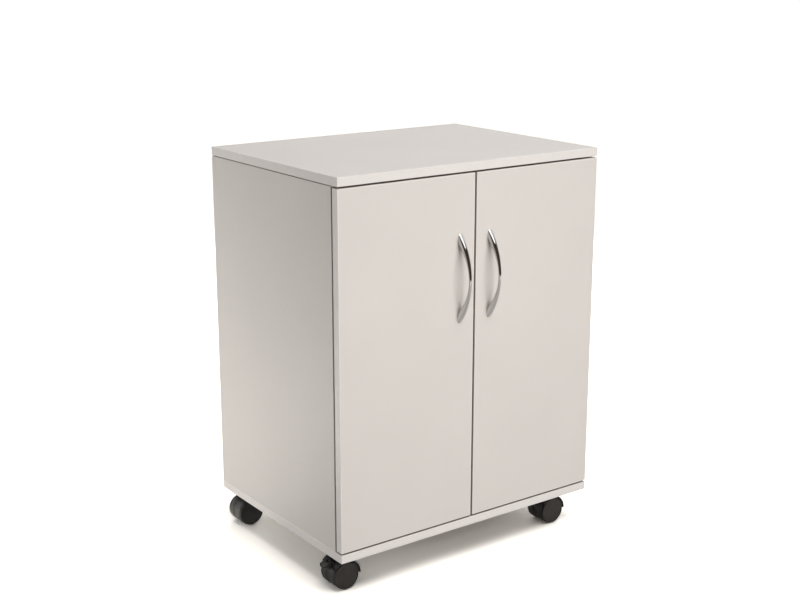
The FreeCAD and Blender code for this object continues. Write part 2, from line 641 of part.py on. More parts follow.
def castor_plate():
    """Square plate under the bottom panel, its kingpin, its four screws and their pilot holes."""
    half = CASTOR_PLATE / 2
    plate = box(V(-half, -half, CASTOR_PLATE_Z), V(half, half, CASTOR_HEIGHT))
    uprights = [e for e in plate.Edges if e.BoundBox.ZLength > CASTOR_PLATE_SHEET / 2]
    plate = plate.makeFillet(CASTOR_PLATE_CORNER, uprights)
    kingpin = rod(KINGPIN_RADIUS, V(0, 0, CASTOR_HEIGHT), V(0, 0, CASTOR_HEIGHT - KINGPIN_LENGTH))
    holes = [rod(KINGPIN_RADIUS + DRILL_PLAY, V(0, 0, CASTOR_PLATE_Z), V(0, 0, CASTOR_HEIGHT))]
    screws = []
    pilots = []
    step = CASTOR_SCREW_SPACING / 2
    for x, y in ((-step, -step), (step, -step), (-step, step), (step, step)):
        seat = V(x, y, CASTOR_PLATE_Z)
        length = CASTOR_PLATE_SHEET + WOOD_SCREW_BITE
        screws.append(screw(WOOD_SCREW, seat, AXIS_Z, length))
        pilots.append(rod(WOOD_SCREW[0] + DRILL_PLAY, seat, seat + AXIS_Z * (length + DRILL_BOTTOM)))
    return plate.cut(Part.makeCompound(holes + pilots)), kingpin, screws, pilots


def both_sides(shapes):
    """Left-hand shapes with their right-hand copies."""
    return list(shapes) + [mirrored(s) for s in shapes]


def back_grooves():
    """The slot that the back panel slides into, as one block that every panel is cut by."""
    front = BACK_PANEL_FRONT - GROOVE_PLAY
    return box(
        V(-INNER_WIDTH / 2 - GROOVE_DEPTH, front, FLOOR_PANEL_Z - GROOVE_DEPTH),
        V(INNER_WIDTH / 2 + GROOVE_DEPTH, front + BACK_BOARD + 2 * GROOVE_PLAY, CEILING_Z + GROOVE_DEPTH),
    )


def side_panel(holes):
    """The left side with its holes, the back panel's groove and the rebate under the top."""
    side = box(V(SIDE_LEFT, SIDE_FRONT, FLOOR_PANEL_Z), V(SIDE_INNER, BACK, CEILING_Z))
    rebate = box(
        V(SIDE_LEFT, SIDE_FRONT, CEILING_Z - REBATE_HEIGHT), V(SIDE_LEFT + REBATE_DEPTH, BACK, CEILING_Z)
    )
    return side.cut(Part.makeCompound(holes)).cut(back_grooves()).cut(rebate)


def carcass_nodes():
    """Panels, shelf and every fitting that stays with them, apart from the castors' moving parts."""
    cams, bolts, dowels = [], [], []
    side_cuts, top_cuts, bottom_cuts = peg_holes(), [], []
    for top in (True, False):
        panel_cuts = top_cuts if top else bottom_cuts
        for y in joint_depths(CAM_FROM_EDGE):
            cam, bolt, bores, tapped = cam_fitting(y, top)
            cams.append(cam)
            bolts.append(bolt)
            side_cuts += bores
            panel_cuts.append(tapped)
        for y in joint_depths(DOWEL_FROM_EDGE):
            dowel, side_hole, panel_hole = dowel_fitting(y, top)
            dowels.append(dowel)
            side_cuts.append(side_hole)
            panel_cuts.append(panel_hole)

    arms, plates, plate_screws, arm_screws = [], [], [], []
    for z in HINGE_HEIGHTS:
        plate, wood_screws, pilots, fixing = hinge_plate(z)
        arms.append(hinge_arm(z))
        plates.append(plate)
        plate_screws += wood_screws
        arm_screws += fixing
        side_cuts += pilots

    castor, kingpin, castor_screws, castor_pilots = castor_plate()

    def at_castors(shapes):
        return [s.translated(place) for place in CASTOR_PLACES.values() for s in shapes]

    groove = back_grooves()
    castor_holes = Part.makeCompound(at_castors(castor_pilots))
    top_core, top_edging = edged_board(V(LEFT, FRONT, CEILING_Z), V(-LEFT, BACK, TOTAL_HEIGHT), 2)
    bottom_core, bottom_edging = edged_board(V(LEFT, FRONT, CASTOR_HEIGHT), V(-LEFT, BACK, FLOOR_PANEL_Z), 2)
    bottom_core = bottom_core.cut(castor_holes)
    side = side_panel(side_cuts)
    end = GROOVE_DEPTH - GROOVE_END_PLAY
    back = box(
        V(-INNER_WIDTH / 2 - end, BACK_PANEL_FRONT, FLOOR_PANEL_Z - end),
        V(INNER_WIDTH / 2 + end, BACK_PANEL_FRONT + BACK_BOARD, CEILING_Z + end),
    )
    shelf_half = INNER_WIDTH / 2 - SHELF_SIDE_PLAY
    shelf = box(
        V(-shelf_half, SIDE_FRONT + SHELF_SETBACK, SHELF_UNDERSIDE),
        V(shelf_half, BACK_PANEL_FRONT - SHELF_BACK_PLAY, SHELF_UNDERSIDE + BOARD),
    )
    pegs = [shelf_peg(y) for y in (SIDE_FRONT + PEG_ROW_FRONT, BACK - PEG_ROW_BACK)]
    return {
        "top_panel": [top_core.cut(Part.makeCompound(both_sides(top_cuts))).cut(groove)],
        "top_edging": [top_edging],
        "bottom_panel": [bottom_core.cut(Part.makeCompound(both_sides(bottom_cuts))).cut(groove)],
        "bottom_edging": [bottom_edging],
        "left_side_panel": [side],
        "right_side_panel": [mirrored(side)],
        "back_panel": [back],
        "shelf": [shelf],
        "shelf_pegs": both_sides(pegs),
        "cam_locks": both_sides(cams),
        "cam_bolts": both_sides(bolts),
        "wood_dowels": both_sides(dowels),
        "hinge_arms": both_sides(arms),
        "hinge_plates": both_sides(plates),
        "hinge_plate_screws": both_sides(plate_screws),
        "hinge_arm_screws": both_sides(arm_screws),
        "castor_plates": at_castors([castor]),
        "castor_kingpins": at_castors([kingpin]),
        "castor_plate_screws": at_castors(castor_screws),
    }


def door_nodes():
    """Both doors with their lippings, handles and the door's half of each hinge."""
    core, edging = edged_board(
        V(LEFT, FRONT, DOOR_BOTTOM), V(LEFT + DOOR_WIDTH, FRONT + DOOR_BOARD, DOOR_BOTTOM + DOOR_HEIGHT), 1
    )
    bow, handle_screws, cuts = bow_handle()
    cups, pins, cup_screws = [], [], []
    for z in HINGE_HEIGHTS:
        cup, pin, screws, pockets = hinge_cup(z)
        cups.append(cup)
        pins.append(pin)
        cup_screws += screws
        cuts = cuts + pockets
    left = {
        "door": [core.cut(Part.makeCompound(cuts))],
        "door_edging": [edging],
        "handle": [bow],
        "handle_screws": handle_screws,
        "hinge_cups": cups,
        "hinge_pins": pins,
        "hinge_cup_screws": cup_screws,
    }
    nodes = {"left_" + name: shapes for name, shapes in left.items()}
    nodes.update({"right_" + name: [mirrored(s) for s in shapes] for name, shapes in left.items()})
    return nodes


def castor_nodes():
    """The moving parts of the four castors: hoods, axles, wheels, and the front pair's brake pedals."""
    axle = across(AXLE_RADIUS, WHEEL_OUTER - WHEEL_FACE - WHEEL_SIDE_PLAY)
    pivot = V(PEDAL_PIVOT_X, 0, PEDAL_PIVOT_Z)
    half = AXIS_Y * (PEDAL_WIDTH / 2)
    nodes = {}
    for place, corner in CASTOR_PLACES.items():
        braked = place.startswith("front")
        pieces = {
            "castor_hood": castor_hood(braked),
            "castor_axle": axle,
            "front_wheel": castor_wheel(-1),
            "rear_wheel": castor_wheel(1),
        }
        if braked:
            pieces["brake_pedal"] = brake_pedal()
            pieces["pedal_pin"] = rod(PEDAL_PIN_RADIUS, pivot - half, pivot + half)
        for name, shape in pieces.items():
            nodes[place + "_" + name] = [shape.translated(corner)]
    return nodes


def all_nodes():
    """Every node's solids, in the part's own frame."""
    nodes = {**carcass_nodes(), **door_nodes(), **castor_nodes()}
    return {name: [s.translated(BODY_SHIFT) for s in shapes] for name, shapes in nodes.items()}


def main():
    os.makedirs("parts", exist_ok=True)
    for name, shapes in all_nodes().items():
        solids = [solid for shape in shapes for solid in shape.Solids]
        node = solids[0] if len(solids) == 1 else Part.makeCompound(solids)
        node.exportStep("parts/" + name + ".step")
        print(f"{name}: {len(solids)} solids, valid {node.isValid()}, volume {node.Volume:.0f}")


if __name__ == "__main__":
    main()
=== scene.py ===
"""Two-door office cabinet on castors: finishes, smooth handles and wheels, and a plain studio.

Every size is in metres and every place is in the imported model's own frame.
"""
import bpy
import bmesh
import json
import math
import numpy as np
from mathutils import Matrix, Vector


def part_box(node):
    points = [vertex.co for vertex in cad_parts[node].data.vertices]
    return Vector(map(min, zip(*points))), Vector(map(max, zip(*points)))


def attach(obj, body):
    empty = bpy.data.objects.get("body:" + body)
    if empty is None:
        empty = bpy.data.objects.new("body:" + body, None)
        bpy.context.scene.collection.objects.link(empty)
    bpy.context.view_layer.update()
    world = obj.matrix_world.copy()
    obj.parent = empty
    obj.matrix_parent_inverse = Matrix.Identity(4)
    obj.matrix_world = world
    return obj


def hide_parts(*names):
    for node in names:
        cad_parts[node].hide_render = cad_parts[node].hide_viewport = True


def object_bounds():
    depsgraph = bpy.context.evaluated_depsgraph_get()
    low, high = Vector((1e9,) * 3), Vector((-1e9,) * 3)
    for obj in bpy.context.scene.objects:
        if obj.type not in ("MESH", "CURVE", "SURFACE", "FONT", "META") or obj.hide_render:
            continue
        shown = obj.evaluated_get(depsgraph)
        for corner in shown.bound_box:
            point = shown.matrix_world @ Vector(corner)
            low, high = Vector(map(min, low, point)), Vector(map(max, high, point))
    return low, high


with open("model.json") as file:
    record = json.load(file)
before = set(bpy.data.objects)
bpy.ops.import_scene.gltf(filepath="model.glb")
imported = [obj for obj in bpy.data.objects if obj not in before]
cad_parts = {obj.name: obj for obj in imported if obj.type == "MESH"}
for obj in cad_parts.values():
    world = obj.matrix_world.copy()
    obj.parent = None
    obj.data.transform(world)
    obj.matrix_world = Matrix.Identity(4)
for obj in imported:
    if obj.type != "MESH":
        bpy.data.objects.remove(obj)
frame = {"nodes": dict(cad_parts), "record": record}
cad_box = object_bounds()
nodes = frame["nodes"]

# Camera: the photograph's viewing point, as a place, a turn to the right, a tilt down and a lens
CAMERA_PLACE = (-1.4504, -1.9958, 1.1103)
CAMERA_TURN_DEG = 35.75
CAMERA_TILT_DEG = 14.84
CAMERA_LENS_MM = 60.1

# Bow handle: how thick at the middle, how wide at middle and feet, how long a foot, how square its tips
HANDLE_THICKNESS = 0.005
HANDLE_MID_WIDTH = 0.006
HANDLE_FOOT_WIDTH = 0.012
HANDLE_FOOT = 0.021
HANDLE_TIP_SQUARE = 0.2
HANDLE_ROWS = 121
HANDLE_AROUND = 49

# Castor wheel: walls, the cap that is its face, the groove behind the cap and the roundings
WHEEL_HUB_RADIUS = 0.007
WHEEL_BORE_RADIUS = 0.00305
WHEEL_RIM = 0.004
WHEEL_FACE_WALL = 0.003
WHEEL_LIP_RADIUS = 0.0224
WHEEL_LIP_SLOPE = 0.0006
WHEEL_FACE_RECESS = 0.0004
WHEEL_CAP = 0.0024
WHEEL_CAP_DROP = 0.0005
WHEEL_CAP_ROUND = 0.001
WHEEL_GROOVE = 0.0018
WHEEL_GROOVE_DEPTH = 0.0018
WHEEL_TREAD_ROUND = 0.0004
WHEEL_SEGMENTS = 128
ARC_STEPS = 7

# New meshes: the angle past which an edge is sharp, and how near two points are when they become one
SHARP_EDGE_DEG = 32
MERGE_DISTANCE = 1e-6

# Colours as they show in plain light
BOARD_GREY = (0.738, 0.687, 0.640)
EDGING_GREY = (0.820, 0.772, 0.726)
BACK_GREY = (0.690, 0.655, 0.615)
CHROME = (0.58, 0.575, 0.57)
NICKEL = (0.66, 0.64, 0.60)
ZINC = (0.60, 0.62, 0.65)
ZINC_CASTING = (0.42, 0.43, 0.44)
BEECH_LIGHT = (0.62, 0.40, 0.21)
BEECH_DARK = (0.47, 0.28, 0.13)
NYLON_BLACK = (0.012, 0.0117, 0.0112)
WHEEL_GREY = (0.023, 0.0200, 0.0178)

# Noise: the limits between which most of its values lie
NOISE_LOW = 0.3
NOISE_HIGH = 0.7

# Painted shade in gaps, which draws the lines round the doors: how near another surface has to be, and what
# is left of the colour deep in a gap
PAINTED_SHADE_REACH = 0.008
PAINTED_SHADE_FACTOR = (0.50, 0.45, 0.42)

# Studio floor: its size, how far it lies under the wheels, and its colour as it lights and as it is seen
FLOOR_SIZE = 60.0
FLOOR_DROP = 0.0003
FLOOR_PALE = (0.38, 0.38, 0.38)
FLOOR_LIFTED = (2.25, 2.18, 2.05)

# Sky and sun: the sky's strength, the sun's turn to the right, its height, how wide it is and its strength
SKY_LIGHT = 0.2
SUN_TURN_DEG = 15.0
SUN_HEIGHT_DEG = 75.0
SUN_SPREAD_DEG = 32.0
SUN_STRENGTH = 1.08

# Soft boxes: where each stands, its width and height, its power and what it shines at
MIDDLE_AIM = (0.0, 0.0, 0.42)
UPPER_DOORS_AIM = (0.0, -0.22, 0.6)
LEFT_SIDE_AIM = (-0.28, 0.1, 0.2)
FRONT_BOX = "studio_front_box"
SOFT_BOXES = {
    FRONT_BOX: dict(
        place=(0.1, -2.6, 0.5), size=(2.0, 0.8), power=33.8, aim=MIDDLE_AIM),
    "studio_door_box": dict(
        place=(-0.2, -1.7, 1.35), size=(1.0, 0.35), power=0.27, aim=UPPER_DOORS_AIM, fan_deg=40),
    "studio_top_box": dict(
        place=(0.0, -1.0, 1.8), size=(0.9, 0.9), power=3.6, aim=MIDDLE_AIM, reflected=True),
    "studio_side_box": dict(
        place=(-1.2, 0.55, 0.1), size=(0.6, 0.6), power=7.7, aim=LEFT_SIDE_AIM),
    "studio_back_box": dict(
        place=(1.7, 1.9, 1.2), size=(1.4, 1.4), power=32.0, aim=MIDDLE_AIM),
}

# What the chrome reflects: a dark screen in an arc round the front, and a grey carpet before it
SCREEN_RADIUS = 3.0
SCREEN_HEIGHT = 2.9
SCREEN_FROM_DEG = -115.0
SCREEN_TO_DEG = 66.0
SCREEN_STEPS = 30
SCREEN_BROWN = (0.18, 0.135, 0.11)
CARPET_FROM_RADIUS = 0.2
CARPET_GREY = (0.68, 0.64, 0.61)


def grid_faces(rows, columns, close_columns):
    """Quads between neighbouring points of a rows by columns grid, as an array of corner numbers."""
    row = np.arange(rows - 1)[:, None]
    column = np.arange(columns if close_columns else columns - 1)[None, :]
    following = (column + 1) % columns
    corners = [row * columns + column, row * columns + following]
    corners += [(row + 1) * columns + following, (row + 1) * columns + column]
    return np.stack(np.broadcast_arrays(*corners), axis=-1).reshape(-1, 4)


def smooth_piece(name, points, faces):
    """A closed mesh object from points and quads: doubles merged, faces out, sharp edges kept."""
    mesh = bpy.data.meshes.new(name)
    mesh.from_pydata(points.reshape(-1, 3).tolist(), [], faces.tolist())
    work = bmesh.new()
    work.from_mesh(mesh)
    bmesh.ops.remove_doubles(work, verts=work.verts, dist=MERGE_DISTANCE)
    bmesh.ops.dissolve_degenerate(work, edges=work.edges, dist=MERGE_DISTANCE)
    bmesh.ops.recalc_face_normals(work, faces=work.faces)
    work.to_mesh(mesh)
    work.free()
    mesh.shade_smooth()
    mesh.set_sharp_from_angle(angle=math.radians(SHARP_EDGE_DEG))
    piece = bpy.data.objects.new(name, mesh)
    bpy.context.scene.collection.objects.link(piece)
    return piece


def stand_in_for(piece, node, body, material):
    """The piece takes the node's place, moves with its body and gets the slot's finish."""
    piece.data.materials.append(material)
    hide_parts(node)
    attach(piece, body)


def signed_power(values, power):
    """The size of each value to a power, with the value's own sign."""
    return np.sign(values) * np.abs(values) ** power


def bow_handle(name, node):
    """A crescent bow standing on the door.

    Along its length the outer line is an arc of a circle and the inner line a parabola that meets the
    door where a foot begins. The width narrows from the feet to the middle with the square of one less
    the squared share of the half length. Each level section is an oval between the two lines, squarer
    towards the tips, and only its part in front of the door is kept: the oval's cosine and sine are taken
    to a power that falls from 1 at the middle. A flat strip closes each foot.
    """
    low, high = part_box(node)
    middle_x = (low[0] + high[0]) / 2
    middle_z = (low[2] + high[2]) / 2
    door_y = high[1]
    half = (high[2] - low[2]) / 2
    projection = high[1] - low[1]
    foot_start = half - HANDLE_FOOT
    radius = (half**2 + projection**2) / (2 * projection)

    along = half * np.sin(np.linspace(-math.pi / 2, math.pi / 2, HANDLE_ROWS))
    outer = np.sqrt(radius**2 - along**2) - (radius - projection)
    inner = (projection - HANDLE_THICKNESS) * (1 - (along / foot_start) ** 2)
    waist = (1 - (along / half) ** 2) ** 2
    half_width = (HANDLE_FOOT_WIDTH - (HANDLE_FOOT_WIDTH - HANDLE_MID_WIDTH) * waist) / 2
    centre = (outer + inner) / 2
    half_depth = np.maximum((outer - inner) / 2, MERGE_DISTANCE)
    power = 1 - HANDLE_TIP_SQUARE * (along / half) ** 4
    at_door = np.clip(-centre / half_depth, -1, 1)
    start = np.arcsin(signed_power(at_door, 1 / power))

    share = np.linspace(0, 1, HANDLE_AROUND)[None, :]
    turn = start[:, None] + (math.pi - 2 * start[:, None]) * share
    x = middle_x + half_width[:, None] * signed_power(np.cos(turn), power[:, None])
    out = np.maximum(centre[:, None] + half_depth[:, None] * signed_power(np.sin(turn), power[:, None]), 0)
    z = np.broadcast_to(middle_z + along[:, None], x.shape)
    points = np.stack([x, door_y - out, z], axis=-1)

    faces = grid_faces(HANDLE_ROWS, HANDLE_AROUND, close_columns=False)
    row = np.flatnonzero((inner[:-1] < 0) & (inner[1:] < 0))
    strip = [row * HANDLE_AROUND, (row + 1) * HANDLE_AROUND]
    strip += [(row + 2) * HANDLE_AROUND - 1, (row + 1) * HANDLE_AROUND - 1]
    return smooth_piece(name, points, np.vstack([faces, np.stack(strip, axis=-1)]))


def arc(centre, radius, start_deg, end_deg):
    """Points of an arc in (distance from the axle, distance from the wheel's inner side)."""
    turn = np.radians(np.linspace(start_deg, end_deg, ARC_STEPS))
    return np.stack([centre[0] + radius * np.cos(turn), centre[1] + radius * np.sin(turn)], axis=-1)


def castor_wheel(name, node, outward):
    """A wheel turned about its axle: one closed outline from the face's middle round the tread to the bore.

    The face is a cap, sunk slightly inside its lip and rounded at its edge. A groove parts the cap from
    the tread, and the inner side is hollow round its hub. outward is -1 where the face looks forwards and
    1 where it looks back.
    """
    low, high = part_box(node)
    axle_x = (low[0] + high[0]) / 2
    axle_z = (low[2] + high[2]) / 2
    radius = (high[2] - low[2]) / 2
    width = high[1] - low[1]
    inner_side = low[1] if outward > 0 else high[1]

    cap = radius - WHEEL_CAP_DROP
    cap_back = width - WHEEL_CAP
    groove = radius - WHEEL_GROOVE_DEPTH
    tread = radius - WHEEL_TREAD_ROUND
    tread_end = cap_back - WHEEL_GROOVE
    rim = radius - WHEEL_RIM
    hollow_end = width - WHEEL_FACE_WALL
    sunk = width - WHEEL_FACE_RECESS
    face = [[0, sunk], [WHEEL_LIP_RADIUS, sunk], [WHEEL_LIP_RADIUS + WHEEL_LIP_SLOPE, width]]
    cap_edge = arc((cap - WHEEL_CAP_ROUND, width - WHEEL_CAP_ROUND), WHEEL_CAP_ROUND, 90, 0)
    behind_cap = [[cap, cap_back], [groove, cap_back], [groove, tread_end]]
    tread_outer = arc((tread, tread_end - WHEEL_TREAD_ROUND), WHEEL_TREAD_ROUND, 90, 0)
    tread_inner = arc((tread, WHEEL_TREAD_ROUND), WHEEL_TREAD_ROUND, 0, -90)
    hollow = [[rim, 0], [rim, hollow_end], [WHEEL_HUB_RADIUS, hollow_end], [WHEEL_HUB_RADIUS, 0]]
    bore = [[WHEEL_BORE_RADIUS, 0], [WHEEL_BORE_RADIUS, hollow_end], [0, hollow_end]]
    outline = np.vstack([face, cap_edge, behind_cap, tread_outer, tread_inner, hollow, bore])

    turn = np.linspace(0, 2 * math.pi, WHEEL_SEGMENTS, endpoint=False)[None, :]
    x = axle_x + outline[:, :1] * np.cos(turn)
    z = axle_z + outline[:, :1] * np.sin(turn)
    y = np.broadcast_to(inner_side + outward * outline[:, 1:], x.shape)
    points = np.stack([x, y, z], axis=-1)
    return smooth_piece(name, points, grid_faces(len(outline), WHEEL_SEGMENTS, close_columns=True))


def finish(name, metallic=0.0, roughness=0.5):
    """A node material with a plain Principled shader; returns it with its tree and shader."""
    material = bpy.data.materials.new(name)
    material.use_nodes = True
    tree = material.node_tree
    shader = tree.nodes["Principled BSDF"]
    shader.inputs["Metallic"].default_value = metallic
    shader.inputs["Roughness"].default_value = roughness
    return material, tree, shader


def noise(tree, scale, detail=3.0, stretch=(1.0, 1.0, 1.0)):
    """Noise on the piece's own coordinates, with its cells stretched along an axis where asked."""
    coordinates = tree.nodes.new("ShaderNodeTexCoord")
    mapping = tree.nodes.new("ShaderNodeMapping")
    mapping.inputs["Scale"].default_value = stretch
    texture = tree.nodes.new("ShaderNodeTexNoise")
    texture.inputs["Scale"].default_value = scale
    texture.inputs["Detail"].default_value = detail
    tree.links.new(coordinates.outputs["Object"], mapping.inputs["Vector"])
    tree.links.new(mapping.outputs["Vector"], texture.inputs["Vector"])
    return texture.outputs["Fac"]


def tint(tree, shader, factor, low_colour, high_colour):
    """Base colour that goes from one colour to another as the noise goes from its low to its high limit."""
    ramp = tree.nodes.new("ShaderNodeValToRGB")
    ramp.color_ramp.elements[0].position = NOISE_LOW
    ramp.color_ramp.elements[0].color = (*low_colour, 1)
    ramp.color_ramp.elements[1].position = NOISE_HIGH
    ramp.color_ramp.elements[1].color = (*high_colour, 1)
    tree.links.new(factor, ramp.inputs["Fac"])
    tree.links.new(ramp.outputs["Color"], shader.inputs["Base Color"])


def gloss(tree, shader, factor, smoothest, roughest):
    """Roughness that goes from smoothest to roughest as the noise goes from its low to its high limit."""
    span = tree.nodes.new("ShaderNodeMapRange")
    span.inputs["From Min"].default_value = NOISE_LOW
    span.inputs["From Max"].default_value = NOISE_HIGH
    span.inputs["To Min"].default_value = smoothest
    span.inputs["To Max"].default_value = roughest
    tree.links.new(factor, span.inputs["Value"])
    tree.links.new(span.outputs["Result"], shader.inputs["Roughness"])


def relief(tree, shader, height, strength, depth):
    """Surface relief of a given depth."""
    bump = tree.nodes.new("ShaderNodeBump")
    bump.inputs["Strength"].default_value = strength
    bump.inputs["Distance"].default_value = depth
    tree.links.new(height, bump.inputs["Height"])
    tree.links.new(bump.outputs["Normal"], shader.inputs["Normal"])


def shaded(colour, factor):
    """A colour made darker or lighter."""
    return tuple(channel * factor for channel in colour)


def painted_gap_shade(tree, shader, colour):
    """Painted shade: darkens the base colour where another surface stands close by, which draws the lines
    round a door.
    """
    painted = shader.inputs["Base Color"].links[0].from_socket
    # Ambient occlusion sets how much painted shade the colour takes
    near = tree.nodes.new("ShaderNodeAmbientOcclusion")
    near.inputs["Distance"].default_value = PAINTED_SHADE_REACH
    blend = tree.nodes.new("ShaderNodeMixRGB")
    blend.inputs["Color1"].default_value = (*np.multiply(colour, PAINTED_SHADE_FACTOR), 1)
    tree.links.new(near.outputs["AO"], blend.inputs["Fac"])
    tree.links.new(painted, blend.inputs["Color2"])
    tree.links.new(blend.outputs["Color"], shader.inputs["Base Color"])


def melamine(name, colour):
    """Melamine paper on chipboard: an even colour, faintly cloudy, a grain that breaks the gloss, and
    painted shade in gaps.
    """
    material, tree, shader = finish(name)
    tint(tree, shader, noise(tree, scale=7.0, detail=4.0), shaded(colour, 0.985), shaded(colour, 1.012))
    # Painted shade where other parts stand close, as in the gaps round the doors
    painted_gap_shade(tree, shader, colour)
    gloss(tree, shader, noise(tree, scale=900.0, detail=2.0), smoothest=0.38, roughest=0.50)
    relief(tree, shader, noise(tree, scale=1500.0, detail=2.0), strength=0.35, depth=0.00006)
    return material


def plastic_edging(name, colour):
    """Plastic lipping: a shade glossier than the boards, with a faint even grain, and painted shade in
    gaps.
    """
    material, tree, shader = finish(name)
    tint(tree, shader, noise(tree, scale=40.0, detail=3.0), shaded(colour, 0.985), shaded(colour, 1.01))
    # Painted shade where other parts stand close, as in the gaps round the doors
    painted_gap_shade(tree, shader, colour)
    gloss(tree, shader, noise(tree, scale=700.0, detail=2.0), smoothest=0.30, roughest=0.40)
    relief(tree, shader, noise(tree, scale=1100.0, detail=2.0), strength=0.25, depth=0.00004)
    return material


def lacquered_hardboard(name, colour):
    """Hardboard under a thin lacquer: short fibres show as low relief and small colour flecks."""
    material, tree, shader = finish(name)
    fibres = noise(tree, scale=260.0, detail=5.0, stretch=(1.0, 1.0, 0.5))
    tint(tree, shader, fibres, shaded(colour, 0.94), shaded(colour, 1.03))
    gloss(tree, shader, noise(tree, scale=500.0), smoothest=0.48, roughest=0.62)
    relief(tree, shader, noise(tree, scale=650.0, detail=4.0), strength=0.4, depth=0.00012)
    return material


def bright_chrome(name, colour):
    """Chrome plate: nearly a mirror, with the faintest polishing haze."""
    material, tree, shader = finish(name, metallic=1.0)
    tint(tree, shader, noise(tree, scale=60.0), shaded(colour, 0.97), shaded(colour, 1.02))
    gloss(tree, shader, noise(tree, scale=240.0, detail=4.0), smoothest=0.05, roughest=0.11)
    return material


def plated_steel(name, colour, smoothest, roughest):
    """Pressed and plated steel: cloudy plating with a light drawn grain from front to back."""
    material, tree, shader = finish(name, metallic=1.0)
    tint(tree, shader, noise(tree, scale=120.0, detail=4.0), shaded(colour, 0.88), shaded(colour, 1.06))
    drawn = noise(tree, scale=420.0, detail=4.0, stretch=(1.0, 0.25, 1.0))
    gloss(tree, shader, drawn, smoothest, roughest)
    relief(tree, shader, noise(tree, scale=900.0, detail=3.0), strength=0.25, depth=0.00003)
    return material


def beech(name):
    """Turned beech: long fine grain down the peg with short dark flecks."""
    material, tree, shader = finish(name, roughness=0.6)
    grain = noise(tree, scale=500.0, detail=5.0, stretch=(1.0, 1.0, 0.08))
    tint(tree, shader, grain, BEECH_DARK, BEECH_LIGHT)
    flecks = noise(tree, scale=900.0, detail=3.0, stretch=(1.0, 1.0, 0.1))
    relief(tree, shader, flecks, strength=0.4, depth=0.0001)
    return material


def moulded_nylon(name, colour, smoothest, roughest):
    """Moulded black nylon: a fine spark-eroded grain, and dull patches where it has been handled."""
    material, tree, shader = finish(name)
    tint(tree, shader, noise(tree, scale=55.0, detail=5.0), shaded(colour, 0.82), shaded(colour, 1.2))
    gloss(tree, shader, noise(tree, scale=130.0, detail=4.0), smoothest, roughest)
    relief(tree, shader, noise(tree, scale=2600.0, detail=2.0), strength=0.3, depth=0.00006)
    return material


def dress(materials):
    """Every CAD node gets the finish of its record slot."""
    slots = {part["node"]: part["material_slot"] for part in frame["record"]["subparts"]}
    for name, node in nodes.items():
        node.data.materials.clear()
        node.data.materials.append(materials[slots[name]])


def make_handles(materials):
    """Both bow handles, in place of their plain solids."""
    for hand in ("left", "right"):
        piece = bow_handle(hand + "_bow_handle", hand + "_handle")
        stand_in_for(piece, hand + "_handle", hand + "_door_leaf", materials["chrome"])


def make_wheels(materials):
    """The twin wheels of the four castors, in place of their plain solids."""
    for corner in ("front_left", "front_right", "back_left", "back_right"):
        for which, outward in (("front", -1), ("rear", 1)):
            node = f"{corner}_{which}_wheel"
            piece = castor_wheel(node + "_turned", node, outward)
            stand_in_for(piece, node, node + "_body", materials["wheel_nylon"])


def stage_sheet(name, points, faces):
    """A sheet of the studio, not of the cabinet."""
    mesh = bpy.data.meshes.new(name)
    mesh.from_pydata(points.tolist(), [], faces.tolist())
    sheet = bpy.data.objects.new(name, mesh)
    bpy.context.scene.collection.objects.link(sheet)
    return sheet


def matt(name, colour):
    """A matt material of one colour; returns it with its tree and shader."""
    material, tree, shader = finish(name, roughness=1.0)
    shader.inputs["Base Color"].default_value = (*colour, 1)
    shader.inputs["Specular IOR Level"].default_value = 0.0
    return material, tree, shader


def seen_or_reflected(tree):
    """1 for what the camera sees, straight or by way of polished and clear surfaces, and 0 otherwise."""
    rays = tree.nodes.new("ShaderNodeLightPath")
    factor = rays.outputs["Is Camera Ray"]
    for kind in ("Is Glossy Ray", "Is Transmission Ray"):
        larger = tree.nodes.new("ShaderNodeMath")
        larger.operation = "MAXIMUM"
        tree.links.new(factor, larger.inputs[0])
        tree.links.new(rays.outputs[kind], larger.inputs[1])
        factor = larger.outputs["Value"]
    return factor


def studio_floor():
    """A pale floor that keeps the shadow; the camera and polished surfaces see it lifted to white."""
    corners = np.array([[-1, -1, 0], [1, -1, 0], [1, 1, 0], [-1, 1, 0]]) * FLOOR_SIZE / 2
    under_wheels = (0, 0, cad_box[0][2] - FLOOR_DROP)
    floor = stage_sheet("studio_floor", corners + under_wheels, np.array([[0, 1, 2, 3]]))
    material, tree, shader = matt("studio_floor_pale", FLOOR_PALE)
    lifted = tree.nodes.new("ShaderNodeBsdfDiffuse")
    lifted.inputs["Color"].default_value = (*FLOOR_LIFTED, 1)
    either = tree.nodes.new("ShaderNodeMixShader")
    tree.links.new(seen_or_reflected(tree), either.inputs["Fac"])
    tree.links.new(shader.outputs["BSDF"], either.inputs[1])
    tree.links.new(lifted.outputs["BSDF"], either.inputs[2])
    tree.links.new(either.outputs["Shader"], tree.nodes["Material Output"].inputs["Surface"])
    floor.data.materials.append(material)
    return floor


def reflected_only(sheet, colour):
    """A card that shows nowhere but in polished surfaces."""
    material, _, _ = matt(sheet.name + "_finish", colour)
    sheet.data.materials.append(material)
    sheet.visible_camera = False
    sheet.visible_diffuse = False
    sheet.visible_shadow = False


def dark_screen():
    """A dark screen in an arc round the front and a grey carpet before it, for the bands in the chrome."""
    turn = np.radians(np.linspace(SCREEN_FROM_DEG, SCREEN_TO_DEG, SCREEN_STEPS))
    outwards = np.stack([np.sin(turn), -np.cos(turn), np.zeros_like(turn)], axis=-1)
    foot = SCREEN_RADIUS * outwards
    head = foot + (0, 0, SCREEN_HEIGHT)
    near = CARPET_FROM_RADIUS * outwards
    faces = grid_faces(2, SCREEN_STEPS, close_columns=False)
    reflected_only(stage_sheet("studio_screen", np.vstack([foot, head]), faces), SCREEN_BROWN)
    reflected_only(stage_sheet("studio_carpet", np.vstack([near, foot]), faces), CARPET_GREY)


